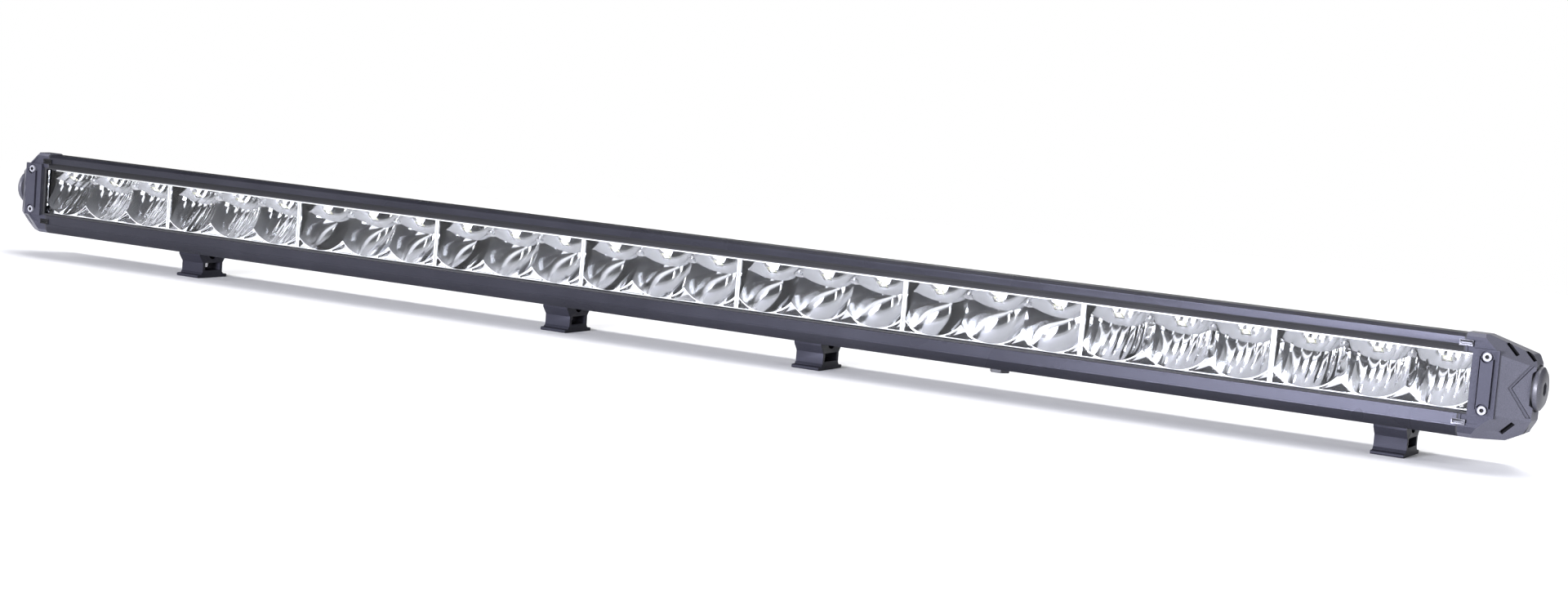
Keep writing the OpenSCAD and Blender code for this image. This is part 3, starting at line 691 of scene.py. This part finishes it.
# ---------- End caps ----------
# Aluminium die castings, bevelled all round, on a black gasket. Four screws hold each from the
# end, in deep round wells, and a front plate with a raised bar clamps the lens under two
# screws. Two small clips bridge the joint with the extrusion.
VENT_AREA = (15, 38)  # square mm
VENT_TILT = (0.35, 0.7)  # the normal's share along the bar
FACES_FRONT = -0.95  # the normal's share towards the back
SOCKET_REACH = 1.6
SOCKET_DEPTH = (0.1, 1.6)
cast_coat = grained_material(
    "casting_coat", colour=(0.050, 0.050, 0.060), fleck=(0.096, 0.096, 0.117), grain=2200,
    roughness=(0.38, 0.50), relief=0.06, Specular_Tint=COAT_SHEEN, Specular_IOR_Level=0.3,
)
# The clamp plates' own dark coat, which also paints shade on the caps' forward faces.
plate_coat_and_painted_shade = grained_material(
    "plate_coat_and_painted_shade", colour=(0.020, 0.020, 0.026), fleck=(0.045, 0.045, 0.058), grain=2200,
    roughness=(0.42, 0.52), relief=0.04, Specular_Tint=COAT_SHEEN, Specular_IOR_Level=0.12,
)
bright_screw = grained_material(
    "stainless", colour=(0.17, 0.17, 0.185), fleck=(0.26, 0.26, 0.28), grain=900,
    roughness=(0.3, 0.4), relief=0.01, Specular_IOR_Level=0.2,
)
clip_metal = grained_material(
    "clip_metal", colour=(0.020, 0.020, 0.022), fleck=(0.035, 0.035, 0.038), grain=900,
    roughness=(0.2, 0.3), relief=0.01, Metallic=1.0,
)


def cap_faces(cap):
    """Numbers of a cap's materials: 2, painted recess shade, in the slanting vents, told by their
    area and tilt, 1, the plate's dark coat as painted shade, on faces that look forward beside
    the plate, and 0 elsewhere."""
    area = np.empty(len(cap.data.polygons), np.float32)
    cap.data.polygons.foreach_get("area", area)
    area = area / MM**2
    tilt_x, tilt_y, _ = face_values(cap, "normal")
    in_vent = (VENT_AREA[0] < area) & (area < VENT_AREA[1])
    in_vent &= (VENT_TILT[0] < np.abs(tilt_x)) & (np.abs(tilt_x) < VENT_TILT[1])
    return np.where(in_vent, 2, tilt_y < FACES_FRONT)


def socket_faces(screws, low, high):
    """Which faces of a pair of screws, one above the other, lie in their sockets and get painted
    shade: those nearer an axis than the socket's reach, and below the head's top by no more than
    its depth."""
    x, y, z = face_values(screws, "center")
    head = (high.x - low.x) / 2
    off_axis = np.hypot(x - low.x - head, np.minimum(z - low.z, high.z - z) - head) / MM
    sunk = (y - low.y) / MM
    return (off_axis < SOCKET_REACH) & (SOCKET_DEPTH[0] < sunk) & (sunk < SOCKET_DEPTH[1])


for side in ("left", "right"):
    finished(f"end_gasket_{side}", black_rubber)
    cap = softened(
        f"end_cap_{side}", f"cast_cap_{side}", [cast_coat, plate_coat_and_painted_shade, painted_recess_shade],
        width=0.35, corner=20,
    )
    # The cap's vents and its forward faces beside the plate are painted in shade.
    paint_faces(cap, cap_faces(cap))
    softened(f"clip_pair_{side}", f"joint_clips_{side}", [clip_metal], width=0.2)
    finished(f"cap_screws_{side}", zinc)
    softened(f"clamp_plate_{side}", f"lens_clamp_{side}", [plate_coat_and_painted_shade], width=0.25)
    screws = softened(
        f"plate_screws_{side}", f"clamp_screws_{side}", [bright_screw, painted_recess_shade],
        width=0.18, corner=40,
    )
    # The sockets' faces get painted shade.
    paint_faces(screws, socket_faces(screws, *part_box(f"plate_screws_{side}")))
    finished(f"bolt_washer_{side}", black_rubber)

# ---------- End bolts ----------
# A flanged steel bolt in each end, coated dark, with a hexagon socket. A side bracket is
# clamped under its wide head.
bolt_coat = grained_material(
    "bolt_coat", colour=(0.035, 0.035, 0.042), fleck=(0.075, 0.075, 0.09), grain=1500,
    roughness=(0.34, 0.44), relief=0.02,
)
for side in ("left", "right"):
    softened(f"end_bolt_{side}", f"flanged_bolt_{side}", [bolt_coat], width=0.3)

# ---------- Feet ----------
# Four short pieces of another extrusion, coated dark. Each slides along the T-slot and is
# locked by a screw from its hollow into a steel nut in the slot.
foot_coat = grained_material(
    "foot_coat", colour=(0.012, 0.012, 0.016), fleck=(0.028, 0.028, 0.036), grain=1900,
    roughness=(0.40, 0.5), relief=0.03, Specular_Tint=COAT_SHEEN, Specular_IOR_Level=0.1,
)
for number in range(1, 5):
    softened(f"foot_{number}", f"slide_foot_{number}", [foot_coat], width=0.3)
    finished(f"foot_screw_{number}", zinc)
    finished(f"slot_nut_{number}", zinc)

# ---------- Cable outlet and vent ----------
# A black plastic gland with a hexagon body and nut and a rubber insert, and behind the bar a
# small round vent that lets air through but no water.
black_plastic = grained_material(
    "moulded_plastic", colour=(0.018, 0.018, 0.020), fleck=(0.036, 0.036, 0.040), grain=1400,
    roughness=(0.45, 0.6), relief=0.02,
)
softened("cable_gland", "gland_body", [black_plastic], width=0.3)
softened("gland_nut", "gland_cap", [black_plastic], width=0.3)
finished("gland_seal", black_rubber)
softened("breather", "vent_plug", [black_plastic], width=0.25)
